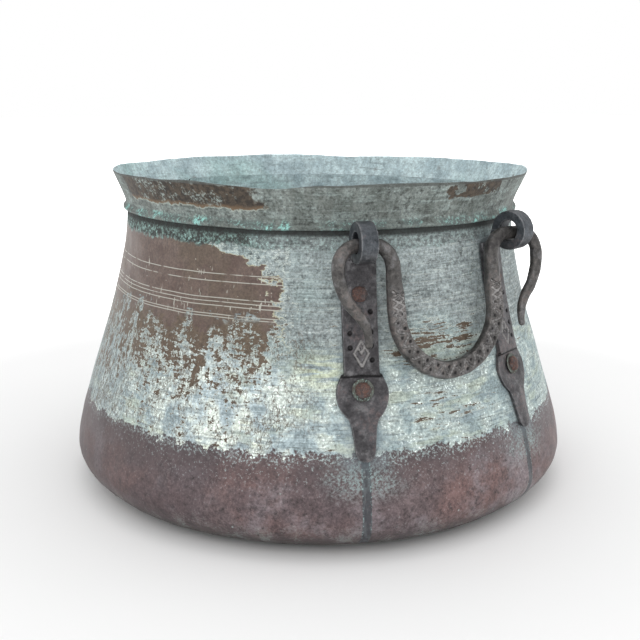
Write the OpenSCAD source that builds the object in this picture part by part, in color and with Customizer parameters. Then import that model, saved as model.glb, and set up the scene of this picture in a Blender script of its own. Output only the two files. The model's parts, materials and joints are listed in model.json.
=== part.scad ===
// Boiler pot of a copper alembic still: a raised copper cauldron with a flared collar,
// four riveted iron straps with rolled eyes, and two forged iron drop handles.
// Millimetres, +Z up, origin at the middle of the base, handles at -Y (front) and +Y (back).

/* [Copper body] */
// Outer radius at the widest place, just above the base
belly_r = 350; // [300:5:430]
// Height of the widest place above the floor
belly_z = 53; // [40:1:70]
// Radius of the flat part of the base
base_r = 280; // [230:5:285]
// Outer radius of the neck, where the still head seats
neck_r = 268; // [220:2:290]
// Height at which the wall becomes upright and the neck begins
neck_z = 376; // [310:2:460]
// Length of the upright stretch of the neck
neck_len = 20; // [14:1:30]
// How far the wall runs upright above the widest place before it leans in
belly_pull = 52; // [30:2:80]
// How long the wall keeps the neck's direction below the neck
neck_pull = 131; // [90:1:160]
// Inward lean of the wall where it meets the neck, in degrees
neck_lean = 4; // [0:0.5:8]
// Thickness of the wall sheets
wall_t = 2.2; // [1.5:0.1:3.5]
// Thickness of the bottom pan
pan_t = 2.6; // [2:0.1:4]
// Height of the seam between the bottom pan and the wall sheets
pan_seam_z = 14; // [8:1:24]

/* [Collar] */
// Outer radius of the rim
rim_r = 287; // [276:1:310]
// Height of the rim above the top of the neck
rim_rise = 32; // [20:1:50]
// Thickness of the collar sheet
collar_t = 2; // [1.5:0.1:3]
// Radius of the rolled bead along the collar's lower edge
bead_r = 3; // [2:0.1:4]

/* [Straps] */
// Angle from the middle of a handle to each of its straps, in degrees
strap_angle = 21; // [18:0.5:26]
// Width of the upper plate of a strap
strap_w = 42; // [34:1:52]
// Thickness of a strap
strap_t = 5; // [3:0.5:7]
// Radius of the rounded lobe around the lower rivet
lobe_r = 31; // [27:0.5:38]
// Radius of the rounded tip at the strap's lower end
tip_r = 12; // [9:0.5:15]
// Half width of the narrow place between lobe and tip
waist_half = 14.5; // [12.5:0.5:18]
// Height from the hinge axis down to the strap's tip
strap_drop = 245; // [229:2:257]
// Height from the hinge axis down to the upper rivet
upper_rivet_drop = 61; // [50:1:76]
// Height from the hinge axis down to the lower rivet
lower_rivet_drop = 168; // [144:1:184]

/* [Eyes] */
// Distance from the pot's axis to the middle of an eye
eye_r = 304; // [300:1:330]
// Outer diameter of an eye
eye_d = 48; // [42:1:54]
// Diameter of the hole in an eye
eye_hole_d = 25; // [23:0.5:29]
// Width of the band that is rolled into an eye
eye_w = 20; // [16:1:24]
// Turn of each eye away from the hinge axis, in degrees
eye_turn = 14; // [0:1:16]

/* [Handle] */
// Diameter of the bar where it passes through an eye
hook_d = 16; // [13:0.5:17]
// Diameter of the upright arms
arm_d = 18; // [15:0.5:22]
// Distance between the middles of the two arms
grip_w = 144; // [120:2:150]
// Depth from the hinge axis to the middle of the grip
grip_drop = 155; // [138:1:172]
// Width of the flattened grip, seen from the front
grip_face = 22; // [18:0.5:26]
// Thickness of the flattened grip
grip_t = 13; // [10:0.5:16]
// Gap between the hanging grip and the wall
rest_gap = 0.6; // [0.3:0.1:4]

/* [Rivets] */
// Diameter of a rivet's shank
rivet_d = 9; // [7:0.5:11]
// Diameter of a rivet's head
rivet_head_d = 20; // [16:0.5:24]
// Height of a rivet's domed head
rivet_head_h = 7; // [4:0.5:9]
// Diameter of the copper washer under each lower head
washer_d = 27; // [25:0.5:32]
// Diameter of the copper rove inside the pot
rove_d = 24; // [18:0.5:30]
// Thickness of the washers and roves
rove_t = 1.6; // [1:0.1:2.5]
// Clearance around each rivet's shank
shank_gap = 0.1; // [0.05:0.05:0.3]
// Gap under each rivet's head, where the flat head meets the curved strap
head_gap = 0.15; // [0.1:0.05:0.3]

/* [Hidden] */
$fn = 96;

// Hinge axis: a little under the middle of the eye's hole, so the bar hangs in the hole.
hang = (eye_hole_d - hook_d) / 2 - eye_w / 2 * tan(eye_turn) * 0.7;
eye_z = neck_z - 9;
hinge_z = eye_z - hang;
hinge_y = eye_r * cos(strap_angle);
eye_x = eye_r * sin(strap_angle);
upper_rivet_z = hinge_z - upper_rivet_drop;
lower_rivet_z = hinge_z - lower_rivet_drop;
tip_z = hinge_z - strap_drop;
shoulder_z = lower_rivet_z + 0.58 * lobe_r;
plate_top_z = neck_z - 26;

// Outline of the wall from the belly to the neck: one curve with four control points.
function mix(a, b, t) = a + (b - a) * t;
function curve(p, t) =
    mix(mix(mix(p[0], p[1], t), mix(p[1], p[2], t), t),
        mix(mix(p[1], p[2], t), mix(p[2], p[3], t), t), t);
wall_ctrl = [
    [belly_r, belly_z],
    [belly_r, belly_z + belly_pull],
    [neck_r + neck_pull * tan(neck_lean), neck_z - neck_pull],
    [neck_r, neck_z]
];
function wall_at(t) = curve(wall_ctrl, t);
function wall_t_at(z, lo = 0, hi = 1, n = 18) =
    n == 0 ? (lo + hi) / 2
    : wall_at((lo + hi) / 2)[1] < z ? wall_t_at(z, (lo + hi) / 2, hi, n - 1)
    : wall_t_at(z, lo, (lo + hi) / 2, n - 1);
function wall_r_at(z) = wall_at(wall_t_at(z))[0];
// Lean of the wall from upright at height z, in degrees.
function wall_lean_at(z) = atan2(wall_r_at(z - 1) - wall_r_at(z + 1), 2);

// Outline of the rounded corner between the flat base and the belly.
corner_steps = 14;
function corner_at(a) = [
    base_r + (belly_r - base_r) * sin(a),
    belly_z - belly_z * cos(a)
];
seam_a = acos(1 - pan_seam_z / belly_z);
pan_outline = [for (i = [0 : corner_steps]) corner_at(seam_a * i / corner_steps)];
wall_steps = 26;
wall_outline = concat(
    [for (i = [0 : corner_steps]) corner_at(mix(seam_a, 90, i / corner_steps))],
    [for (i = [1 : wall_steps]) wall_at(i / wall_steps)],
    [[neck_r, neck_z + neck_len]]
);

// Moves every point of an outline sideways: positive d goes out of the pot.
function unit(v) = v / norm(v);
function along(p, i) = unit(p[min(i + 1, len(p) - 1)] - p[max(i - 1, 0)]);
function shifted(p, d) = [
    for (i = [0 : len(p) - 1]) p[i] + d * [along(p, i)[1], -along(p, i)[0]]
];
function reversed(p) = [for (i = [len(p) - 1 : -1 : 0]) p[i]];
// The same, with both ends kept at their own height.
function level_ends(p, q) = [
    for (i = [0 : len(p) - 1])
        i == 0 || i == len(p) - 1 ? [q[i][0] + (p[i][1] - q[i][1]) * slope(p, i), p[i][1]] : q[i]
];
function slope(p, i) = along(p, i)[0] / along(p, i)[1];

// The stretch of wall that the straps lie on: the wall's own points, a little past both ends.
strap_bed = [for (p = wall_outline) if (p[1] > tip_z - 24 && p[1] < plate_top_z + 24) p];

copper = [0.45, 0.30, 0.24];
patina = [0.52, 0.62, 0.60];
iron = [0.20, 0.18, 0.18];
rust = [0.36, 0.20, 0.15];
rove_copper = [0.55, 0.58, 0.48];

// Places its children at an azimuth: 0 is the front (-Y), and positive turns to +X.
module at_azimuth(a) {
    rotate([0, 0, a]) children();
}

// A wedge of revolution centred on the front.
module front_wedge(angle) {
    rotate([0, 0, -90 - angle / 2]) rotate_extrude(angle = angle, $fn = 180) children();
}

// Places its children on the wall's outside at height z, with +Z along the outward normal.
module on_wall(z, out = 0) {
    translate([0, -wall_r_at(z), z])
        rotate([90 - wall_lean_at(z), 0, 0])
            translate([0, 0, out]) children();
}

module rivet_holes() {
    for (z = [upper_rivet_z, lower_rivet_z])
        on_wall(z, -12) cylinder(h = 30, d = rivet_d + 2 * shank_gap, $fn = 48);
}

module all_rivet_holes() {
    for (side = [0, 180], a = [-strap_angle, strap_angle]) at_azimuth(side + a) rivet_holes();
}

// Bottom pan: flat disc with a raised edge that the wall sheets are brazed to.
module bottom_pan() {
    inner = level_ends(pan_outline, shifted(pan_outline, -pan_t));
    color(copper)
        rotate_extrude($fn = 180)
            polygon(concat([[0, 0]], pan_outline, reversed([for (i = [1 : corner_steps]) inner[i]]),
                [[base_r - 1, pan_t], [0, pan_t]]));
}

// One wall sheet: its ends meet the next sheets at seams under the straps.
module wall_sheet(middle, angle) {
    inner = level_ends(wall_outline, shifted(wall_outline, -wall_t));
    color(patina) difference() {
        at_azimuth(middle) front_wedge(angle)
            polygon(concat(wall_outline, reversed(inner)));
        all_rivet_holes();
    }
}

// Collar: a band around the neck with a rolled lower bead, flaring to the rim.
module collar() {
    flare_steps = 10;
    low_z = neck_z + 3;
    top_z = neck_z + neck_len;
    flare = [
        for (i = [0 : flare_steps])
            [mix(neck_r, rim_r - collar_t, pow(i / flare_steps, 1.25)), top_z + rim_rise * i / flare_steps]
    ];
    bead = [for (a = [70 : -20 : -190]) [neck_r + bead_r + bead_r * cos(a), low_z + bead_r * sin(a)]];
    color(patina) rotate_extrude($fn = 180)
        polygon(concat([[neck_r, low_z + bead_r / 2]], flare,
            reversed([for (p = flare) p + [collar_t, 0]]), bead));
}

// Outline of a strap, seen from the front: plate, shoulders, lobe, waist and round tip.
module strap_outline() {
    tip_mid = tip_z + tip_r;
    waist_z = mix(tip_mid, lower_rivet_z, 0.37);
    lobe = [
        for (a = [30 : -10 : -40]) [lobe_r * cos(a), lower_rivet_z - 4 + lobe_r * sin(a)]
    ];
    tip = [for (a = [0 : -15 : -90]) [tip_r * cos(a), tip_mid + tip_r * sin(a)]];
    right = concat(
        [[strap_w / 2, plate_top_z], [strap_w / 2, shoulder_z], [lobe_r * cos(30) - 3, shoulder_z]],
        lobe,
        [[waist_half + 3, waist_z + 10], [waist_half, waist_z]],
        tip
    );
    polygon(concat(right, reversed([for (p = right) [-p[0], p[1]]])));
}

// One strap: a plate that follows the wall, topped by a rolled eye that holds the handle.
module strap(azimuth) {
    turn = azimuth % 180 == strap_angle ? eye_turn - strap_angle : strap_angle - eye_turn;
    outer = shifted(strap_bed, strap_t);
    link_z = plate_top_z - 12;
    link_r = wall_r_at(link_z);
    color(iron) at_azimuth(azimuth) difference() {
        union() {
            intersection() {
                front_wedge(18) polygon(concat(strap_bed, reversed(outer)));
                rotate([90, 0, 0]) linear_extrude(height = 500) strap_outline();
            }
            rotate([90, 0, 90]) translate([0, 0, -eye_w / 2]) linear_extrude(height = eye_w)
                polygon([
                    [-(link_r + 0.4), link_z],
                    [-(link_r + strap_t + 1), link_z],
                    [-(eye_r - eye_hole_d / 2), eye_z],
                    [-(eye_r - eye_d / 2), eye_z]
                ]);
            eye_axis(turn) cylinder(h = eye_w, d = eye_d, center = true);
        }
        eye_axis(turn) cylinder(h = 3 * eye_w, d = eye_hole_d, center = true);
        rivet_holes();
    }
}

module eye_axis(turn) {
    translate([0, -eye_r, eye_z]) rotate([0, 0, turn]) rotate([0, 90, 0]) children();
}

// Round-headed iron rivet: outer dome, shank through strap and wall, and a hammered tail.
module rivet(azimuth, z, pad) {
    head = [for (a = [0 : 10 : 90]) [rivet_head_d / 2 * cos(a), rivet_head_h * sin(a)]];
    seat = strap_t + pad + head_gap;
    tail_z = -wall_t - rove_t - 0.35;
    tail = [for (a = [0 : 15 : 90]) [rivet_head_d * 0.36 * cos(a), -rivet_head_h * 0.5 * sin(a)]];
    color(rust) at_azimuth(azimuth) on_wall(z) {
        rotate_extrude($fn = 48)
            polygon(concat([[0, seat]], [for (p = head) p + [0, seat]]));
        rotate_extrude($fn = 48)
            polygon(concat([[0, tail_z]], reversed([for (p = tail) p + [0, tail_z]])));
        translate([0, 0, tail_z]) cylinder(h = seat - tail_z, d = rivet_d, $fn = 48);
    }
}

// Copper washer around a shank, its near face at the given distance from the wall's outside.
module washer(azimuth, z, out, d) {
    color(rove_copper) at_azimuth(azimuth) on_wall(z, out) difference() {
        cylinder(h = rove_t, d = d, $fn = 48);
        translate([0, 0, -1]) cylinder(h = rove_t + 2, d = rivet_d + 2 * shank_gap, $fn = 48);
    }
}

// A bent round bar in the handle's own plane. It runs on by lap at the ends named in laps,
// into a neighbour that is a little thicker there.
lap = 1;
module bend(centre, radius, a0, a1, d, laps) {
    extra = lap / radius * 180 / PI;
    start = a0 - laps[0] * extra;
    translate([centre[0], centre[1], 0]) rotate([0, 0, start])
        rotate_extrude(angle = a1 + laps[1] * extra - start, $fn = 96)
            translate([radius, 0]) circle(d = d, $fn = 32);
}

// A straight round bar between two points of the handle's plane, run on by lap at both ends.
module bar(from, to, d) {
    run = to - from;
    translate([from[0], from[1], 0]) rotate([0, 0, atan2(run[1], run[0])]) rotate([0, 90, 0])
        translate([0, 0, -lap]) cylinder(h = norm(run) + 2 * lap, d = d, $fn = 32);
}

// Half of the handle: arm, bend over to the eye, bar through the eye, and the tail that
// curls down outside it, thinner at every step.
module handle_side() {
    straight = eye_w / 2;
    arm_x = grip_w / 2;
    over_r = eye_x - straight - arm_x;
    out_x = eye_x + straight;
    step = hook_d * 0.035;
    tail_r = 26;
    sweep_r = 70;
    sweep_a = 40;
    run = 8;
    kick_r = 45;
    kick_a = 48;
    turn_in = [cos(sweep_a), -sin(sweep_a)];
    sweep_mid = [out_x + tail_r - sweep_r, -tail_r];
    sweep_end = sweep_mid + sweep_r * turn_in;
    run_end = sweep_end - run * [sin(sweep_a), cos(sweep_a)];
    kick_mid = run_end + kick_r * turn_in;
    tip = kick_mid - kick_r * [cos(kick_a - sweep_a), sin(kick_a - sweep_a)];
    bar([arm_x, -(grip_drop - grip_w / 2)], [arm_x, -over_r], arm_d);
    bend([eye_x - straight, -over_r], over_r, 90, 180, (arm_d + hook_d) / 2, [0, 1]);
    bar([eye_x - straight, 0], [out_x, 0], hook_d);
    bend([out_x, -tail_r], tail_r, 0, 90, hook_d - step, [0, 1]);
    bend(sweep_mid, sweep_r, -sweep_a, 0, hook_d - 2 * step, [0, 1]);
    bar(sweep_end, run_end, hook_d - 3 * step);
    bend(kick_mid, kick_r, 180 - sweep_a, 180 + kick_a - sweep_a, hook_d - 4 * step, [1, 0]);
    translate([tip[0], tip[1], 0]) sphere(d = hook_d - 3 * step, $fn = 32);
}

// Handle: a flattened, chamfered U grip between two arms that hook through the eyes.
module handle(azimuth) {
    rest_r = wall_r_at(hinge_z - grip_drop - grip_face / 2) + rest_gap + grip_t / 2;
    lean = asin((rest_r - hinge_y) / (grip_drop + grip_face / 2));
    chamfer = grip_t * 0.22;
    w = grip_face / 2;
    h = grip_t / 2;
    color(iron) at_azimuth(azimuth) translate([0, -hinge_y, hinge_z])
        rotate([-lean, 0, 0]) rotate([90, 0, 0]) {
            translate([0, -(grip_drop - grip_w / 2), 0]) rotate([0, 0, 180])
                rotate_extrude(angle = 180, $fn = 120) translate([grip_w / 2, 0])
                    polygon([
                        [-w, -h + chamfer], [-w + chamfer, -h], [w - chamfer, -h], [w, -h + chamfer],
                        [w, h - chamfer], [w - chamfer, h], [-w + chamfer, h], [-w, h - chamfer]
                    ]);
            handle_side();
            mirror([1, 0, 0]) handle_side();
        }
}

narrow = 2 * strap_angle;
wide = 180 - narrow;
inner_rove_out = -wall_t - rove_t - 0.3;

bottom_pan();
wall_sheet(0, narrow);  // wall_sheet_front
wall_sheet(90, wide);  // wall_sheet_right
wall_sheet(180, narrow);  // wall_sheet_back
wall_sheet(270, wide);  // wall_sheet_left
collar();
strap(-strap_angle);  // strap_front_left
strap(strap_angle);  // strap_front_right
strap(180 - strap_angle);  // strap_back_left
strap(180 + strap_angle);  // strap_back_right
handle(0);  // handle_front
handle(180);  // handle_back
rivet(-strap_angle, upper_rivet_z, 0);  // upper_rivet_front_left
rivet(strap_angle, upper_rivet_z, 0);  // upper_rivet_front_right
rivet(180 - strap_angle, upper_rivet_z, 0);  // upper_rivet_back_left
rivet(180 + strap_angle, upper_rivet_z, 0);  // upper_rivet_back_right
rivet(-strap_angle, lower_rivet_z, rove_t + 0.05);  // lower_rivet_front_left
rivet(strap_angle, lower_rivet_z, rove_t + 0.05);  // lower_rivet_front_right
rivet(180 - strap_angle, lower_rivet_z, rove_t + 0.05);  // lower_rivet_back_left
rivet(180 + strap_angle, lower_rivet_z, rove_t + 0.05);  // lower_rivet_back_right
washer(-strap_angle, lower_rivet_z, strap_t + 0.05, washer_d);  // washer_front_left
washer(strap_angle, lower_rivet_z, strap_t + 0.05, washer_d);  // washer_front_right
washer(180 - strap_angle, lower_rivet_z, strap_t + 0.05, washer_d);  // washer_back_left
washer(180 + strap_angle, lower_rivet_z, strap_t + 0.05, washer_d);  // washer_back_right
washer(-strap_angle, upper_rivet_z, inner_rove_out, rove_d);  // upper_rove_front_left
washer(strap_angle, upper_rivet_z, inner_rove_out, rove_d);  // upper_rove_front_right
washer(180 - strap_angle, upper_rivet_z, inner_rove_out, rove_d);  // upper_rove_back_left
washer(180 + strap_angle, upper_rivet_z, inner_rove_out, rove_d);  // upper_rove_back_right
washer(-strap_angle, lower_rivet_z, inner_rove_out, rove_d);  // lower_rove_front_left
washer(strap_angle, lower_rivet_z, inner_rove_out, rove_d);  // lower_rove_front_right
washer(180 - strap_angle, lower_rivet_z, inner_rove_out, rove_d);  // lower_rove_back_left
washer(180 + strap_angle, lower_rivet_z, inner_rove_out, rove_d);  // lower_rove_back_right
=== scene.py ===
"""Finished model of a copper still boiler: hammered sheets, flared collar and forged handles."""

import functools
import json
import math
import operator

import bpy
from mathutils import Matrix, Vector, kdtree


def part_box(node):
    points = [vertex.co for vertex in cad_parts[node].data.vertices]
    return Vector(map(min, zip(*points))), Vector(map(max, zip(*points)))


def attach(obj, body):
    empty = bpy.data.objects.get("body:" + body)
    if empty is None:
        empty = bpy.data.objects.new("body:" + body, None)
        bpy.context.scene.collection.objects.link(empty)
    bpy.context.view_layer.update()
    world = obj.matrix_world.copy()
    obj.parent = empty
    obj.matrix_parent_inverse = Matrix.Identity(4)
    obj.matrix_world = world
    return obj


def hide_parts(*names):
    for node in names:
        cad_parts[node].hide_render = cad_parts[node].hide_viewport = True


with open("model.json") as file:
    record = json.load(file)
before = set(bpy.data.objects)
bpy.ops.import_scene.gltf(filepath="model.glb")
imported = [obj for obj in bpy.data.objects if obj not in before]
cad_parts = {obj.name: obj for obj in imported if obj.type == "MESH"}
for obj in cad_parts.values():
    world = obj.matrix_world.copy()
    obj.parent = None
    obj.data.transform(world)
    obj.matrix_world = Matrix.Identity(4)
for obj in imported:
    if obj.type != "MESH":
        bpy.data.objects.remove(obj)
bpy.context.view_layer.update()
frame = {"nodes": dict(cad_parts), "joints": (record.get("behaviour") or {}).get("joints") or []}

bl_info = {
    "name": "Copper Still Boiler",
    "version": (1, 0, 0),
    "blender": (4, 5, 0),
    "location": "View3D > Sidebar > Still",
    "description": "Builds the finished surfaces of a copper still boiler on its packed frame",
    "category": "Add Mesh",
}

SITES = ("front_left", "front_right", "back_left", "back_right")

belly_low, belly_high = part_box("wall_sheet_right")
collar_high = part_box("collar")[1]
strap_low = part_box("strap_front_left")[0]
hinges = {joint["child"]: Vector(joint["pos_m"]) for joint in frame["joints"]}


# ---------------------------------------------------------------- sizes and colours


def length(name, description, default):
    return bpy.props.FloatProperty(
        name=name, description=description, default=default, unit="LENGTH", precision=4
    )


def angle(name, description, degrees):
    return bpy.props.FloatProperty(
        name=name, description=description, default=math.radians(degrees), subtype="ANGLE"
    )


def tint(name, description, colour):
    return bpy.props.FloatVectorProperty(
        name=name, description=description, default=colour, size=3, subtype="COLOR", min=0, max=1
    )


class StillSizes(bpy.types.PropertyGroup):
    """Sizes of the boiler, in metres, as its frame has them."""

    belly_radius: length("Belly radius", "Outer radius at the widest place", belly_high.x)
    belly_height: length("Belly height", "Height of the widest place", 0.053)
    belly_pull: length("Belly pull", "How far the wall stays upright above the belly", 0.052)
    base_radius: length("Base radius", "Radius of the flat base", 0.280)
    seam_height: length("Pan seam", "Height of the seam between pan and wall", belly_low.z)
    neck_radius: length("Neck radius", "Outer radius of the neck", 0.268)
    neck_height: length("Neck height", "Height where the wall turns upright", 0.376)
    neck_length: length("Neck length", "Length of the upright neck", belly_high.z - 0.376)
    neck_pull: length("Neck pull", "How long the wall keeps the neck's direction", 0.131)
    neck_lean: angle("Neck lean", "Lean of the wall where it meets the neck", 4)
    wall: length("Wall", "Thickness of the wall sheets", 0.0022)
    pan: length("Pan", "Thickness of the bottom pan", 0.0026)
    rim_radius: length("Rim radius", "Outer radius of the rim", collar_high.x)
    rim_height: length("Rim height", "Height of the rim", collar_high.z)
    collar: length("Collar", "Thickness of the collar sheet", 0.002)
    bead: length("Bead", "Radius of the collar's rolled lower bead", 0.003)
    strap_angle: angle("Strap angle", "Angle from a handle's middle to its straps", 21)
    strap_thickness: length("Strap", "Thickness of a strap", 0.005)
    shoulder_drop: length("Shoulder drop", "From the hinge down to the strap's shoulders", 0.1502)
    lower_rivet_drop: length("Lower rivet drop", "From the hinge down to the lower rivet", 0.168)
    upper_rivet_drop: length("Upper rivet drop", "From the hinge down to the upper rivet", 0.061)
    strap_tip: length("Strap tip", "Height of a strap's lower tip", strap_low.z)
    eye_radius: length("Eye distance", "Distance from the axis to the middle of an eye", 0.304)
    grip_half: length("Grip half width", "Half the distance between the arms", 0.072)
    grip_drop: length("Grip drop", "From the hinge to the middle of the grip", 0.155)
    grip_gap: length("Grip gap", "Gap between the hanging grip and the wall", 0.0006)
    hook: length("Hook bar", "Diameter of the bar in the eyes", 0.016)
    arm: length("Arm bar", "Diameter of the arms", 0.018)
    grip_thickness: length("Grip thickness", "Thickness of the flattened grip", 0.013)
    grip_face: length("Grip face", "Width of the flattened grip", 0.022)


class StillColours(bpy.types.PropertyGroup):
    """Colours of the copper, its patina and the iron."""

    bare: tint("Bare copper", "Brown copper where the patina has come off", (0.122, 0.088, 0.074))
    fired: tint("Fired copper", "Reddish purple copper of the lower body", (0.135, 0.100, 0.103))
    grey: tint("Grey patina", "Smooth grey patina of the upper wall", (0.205, 0.240, 0.242))
    # The lit copy of the pale patina, drawn where the wall's painted light falls.
    pale: tint("Pale patina", "Pale blue patina of the middle of the wall", (0.43, 0.52, 0.56))
    cream: tint("Cream patina", "Cream crust in the flaking patina", (0.67, 0.73, 0.67))
    lichen: tint("Yellow patina", "Yellow green crust", (0.53, 0.56, 0.33))
    verdigris: tint("Verdigris", "Blue green corrosion by the collar and seams", (0.155, 0.235, 0.215))
    collar: tint("Collar patina", "Dull grey green of the collar", (0.105, 0.122, 0.112))
    iron: tint("Iron", "Dark forged iron", (0.046, 0.044, 0.047))
    rust: tint("Rust", "Rust on the rivets", (0.105, 0.052, 0.040))


# ---------------------------------------------------------------- shader maths


def arithmetic(operation):
    return lambda self, other: self.math(operation, other)


class Amount:
    """A number that varies over the surface. Arithmetic on it adds Math nodes to its finish."""

    def __init__(self, finish, socket):
        self.finish = finish
        self.socket = socket

    def math(self, operation, *others):
        return self.finish.node("ShaderNodeMath", {"operation": operation}, self, *others)

    __add__ = __radd__ = arithmetic("ADD")
    __sub__ = arithmetic("SUBTRACT")
    __mul__ = __rmul__ = arithmetic("MULTIPLY")
    __truediv__ = arithmetic("DIVIDE")
    __or__ = arithmetic("MAXIMUM")
    __and__ = arithmetic("MINIMUM")

    def __rsub__(self, other):
        return self.finish.node("ShaderNodeMath", {"operation": "SUBTRACT"}, other, self)

    def __abs__(self):
        return self.math("ABSOLUTE")

    def __neg__(self):
        return self * -1.0

    def rise(self, low, high):
        """0 below low and 1 above high, smooth between; low may be above high."""
        return self.finish.node(
            "ShaderNodeMapRange", {"interpolation_type": "SMOOTHSTEP"}, self, low, high, 0.0, 1.0
        )

    def near(self, middle, width):
        """1 at middle, falling smoothly to 0 at width from it."""
        return abs(self - middle).rise(width, 0.0)

    def between(self, low, high, soft):
        """1 between low and high, with soft ends."""
        return self.rise(low - soft, low + soft) * self.rise(high + soft, high - soft)

    def towards(self, other, share):
        """A number between this one and the other."""
        return self + (other - self) * share


class Finish:
    """A node material under construction, with its shader and the object's own coordinates."""

    def __init__(self, name):
        self.material = bpy.data.materials.get(name) or bpy.data.materials.new(name)
        self.material.use_nodes = True
        self.tree = self.material.node_tree
        self.tree.nodes.clear()
        self.shader = self.tree.nodes.new("ShaderNodeBsdfPrincipled")
        output = self.tree.nodes.new("ShaderNodeOutputMaterial")
        self.tree.links.new(self.shader.outputs[0], output.inputs[0])
        self.place = self.node("ShaderNodeTexCoord", {"out": "Object"})
        self.x, self.y, self.z = self.split(self.place)

    def node(self, kind, settings, *values, **named):
        """Adds one node: its settings first, then its inputs in order or by name."""
        made = self.tree.nodes.new(kind)
        out = settings.get("out", 0)
        for key, value in settings.items():
            if key != "out":
                setattr(made, key, value)
        for index, value in enumerate(values):
            self.feed(made.inputs[index], value)
        for key, value in named.items():
            self.feed(made.inputs[key], value)
        return Amount(self, made.outputs[out])

    def feed(self, socket, value):
        if isinstance(value, Amount):
            self.tree.links.new(value.socket, socket)
        elif isinstance(socket.default_value, (int, float)):
            socket.default_value = value
        else:
            value = tuple(value)
            size = len(socket.default_value)
            socket.default_value = value + (1.0,) * (size - len(value))

    def split(self, vector):
        made = self.tree.nodes.new("ShaderNodeSeparateXYZ")
        self.tree.links.new(vector.socket, made.inputs[0])
        return [Amount(self, output) for output in made.outputs]

    def multiply(self, vector, by):
        return self.node("ShaderNodeVectorMath", {"operation": "MULTIPLY"}, vector, by)

    def noise(self, scale, detail=4.0, rough=0.55):
        return self.node(
            "ShaderNodeTexNoise", {}, Vector=self.place, Scale=scale, Detail=detail, Roughness=rough
        )

    def grain(self, level, upright, detail=3, rough=0.5):
        """Noise with its own scales for level and upright, so that it runs along one of them."""
        place = self.multiply(self.place, (level, level, upright))
        return self.node(
            "ShaderNodeTexNoise", {}, Vector=place, Scale=1.0, Detail=detail, Roughness=rough
        )

    def mix(self, share, first, second):
        """A colour between first and second."""
        made = self.tree.nodes.new("ShaderNodeMix")
        made.data_type = "RGBA"
        self.feed(made.inputs[0], share)
        self.feed(made.inputs[6], first)
        self.feed(made.inputs[7], second)
        return Amount(self, made.outputs[2])

    def bump(self, height, distance, strength=1.0, below=None):
        made = self.tree.nodes.new("ShaderNodeBump")
        made.inputs["Distance"].default_value = distance
        made.inputs["Strength"].default_value = strength
        self.feed(made.inputs["Height"], height)
        if below:
            self.feed(made.inputs["Normal"], below)
        return Amount(self, made.outputs[0])

    def wear(self, colour, rough, metal, normal, glow=None):
        """Feeds the shader and hands back the material."""
        if glow is not None:
            self.feed(self.shader.inputs["Emission Color"], self.mix(glow, (0, 0, 0), (1, 1, 1)))
            self.shader.inputs["Emission Strength"].default_value = 1.0
        self.feed(self.shader.inputs["Base Color"], colour)
        self.feed(self.shader.inputs["Roughness"], rough)
        self.feed(self.shader.inputs["Metallic"], metal)
        self.feed(self.shader.inputs["Normal"], normal)
        return self.material


# ---------------------------------------------------------------- the pot's own shapes


def sizes():
    return bpy.context.scene.still_sizes


def colours():
    return bpy.context.scene.still_colours


def blend_between(low, high, share):
    return low + (high - low) * share


def ease(share):
    """A share from 0 to 1 with soft ends."""
    return share * share * (3 - 2 * share)


def wall_point(share):
    """A point of the wall's outline between belly (0) and neck (1): radius and height."""
    s = sizes()
    points = [
        (s.belly_radius, s.belly_height),
        (s.belly_radius, s.belly_height + s.belly_pull),
        (s.neck_radius + s.neck_pull * math.tan(s.neck_lean), s.neck_height - s.neck_pull),
        (s.neck_radius, s.neck_height),
    ]
    while len(points) > 1:
        points = [
            tuple(blend_between(a, b, share) for a, b in zip(p, q)) for p, q in zip(points, points[1:])
        ]
    return points[0]


@functools.lru_cache(maxsize=None)
def wall_radius(height):
    """Radius of the wall's outside at a height above the belly, kept until the next maker runs."""
    low, high = 0.0, 1.0
    for _ in range(24):
        middle = (low + high) / 2
        if wall_point(middle)[1] < height:
            low = middle
        else:
            high = middle
    return wall_point(low)[0]


def wall_lean(height):
    """How far the wall leans inwards from upright at a height."""
    step = 0.001
    return math.atan2(wall_radius(height - step) - wall_radius(height + step), 2 * step)


def corner_point(turn):
    """A point of the rounded corner between base (turn 0) and belly (a quarter turn)."""
    s = sizes()
    return (
        s.base_radius + (s.belly_radius - s.base_radius) * math.sin(turn),
        s.belly_height * (1 - math.cos(turn)),
    )


def seam_turn():
    s = sizes()
    return math.acos(1 - s.seam_height / s.belly_height)


def at_azimuth(radius, height, azimuth):
    """A point in space: azimuth 0 is the front, and positive turns to the right."""
    return Vector((radius * math.sin(azimuth), -radius * math.cos(azimuth), height))


def site_azimuth(site):
    s = sizes()
    lean = s.strap_angle if site.endswith("right") else -s.strap_angle
    return lean if site.startswith("front") else math.pi + lean


def hinge(side):
    """The hinge point of a handle, in the frame."""
    return hinges[side + "_handle"]


# ---------------------------------------------------------------- modelling by hand


def deselect():
    if bpy.context.object and bpy.context.object.mode != "OBJECT":
        bpy.ops.object.mode_set(mode="OBJECT")
    bpy.ops.object.select_all(action="DESELECT")


def take(piece):
    deselect()
    piece.select_set(True)
    bpy.context.view_layer.objects.active = piece


def edit(piece, action="DESELECT"):
    """Goes into edit mode on the piece's vertices, with none or all of them selected."""
    take(piece)
    bpy.ops.object.mode_set(mode="EDIT")
    bpy.ops.mesh.select_mode(type="VERT")
    bpy.ops.mesh.select_all(action=action)


def select(piece, wanted):
    """Selects the vertices of a piece in edit mode for which wanted(vertex) is true."""
    bpy.ops.object.mode_set(mode="OBJECT")
    for vertex in piece.data.vertices:
        if wanted(vertex):
            vertex.select = True
    bpy.ops.object.mode_set(mode="EDIT")


def done():
    bpy.ops.object.mode_set(mode="OBJECT")


def settle(piece):
    """Puts the piece's place into its mesh, so that its object is at the origin."""
    take(piece)
    bpy.ops.object.transform_apply(location=True, rotation=True, scale=True)


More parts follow.
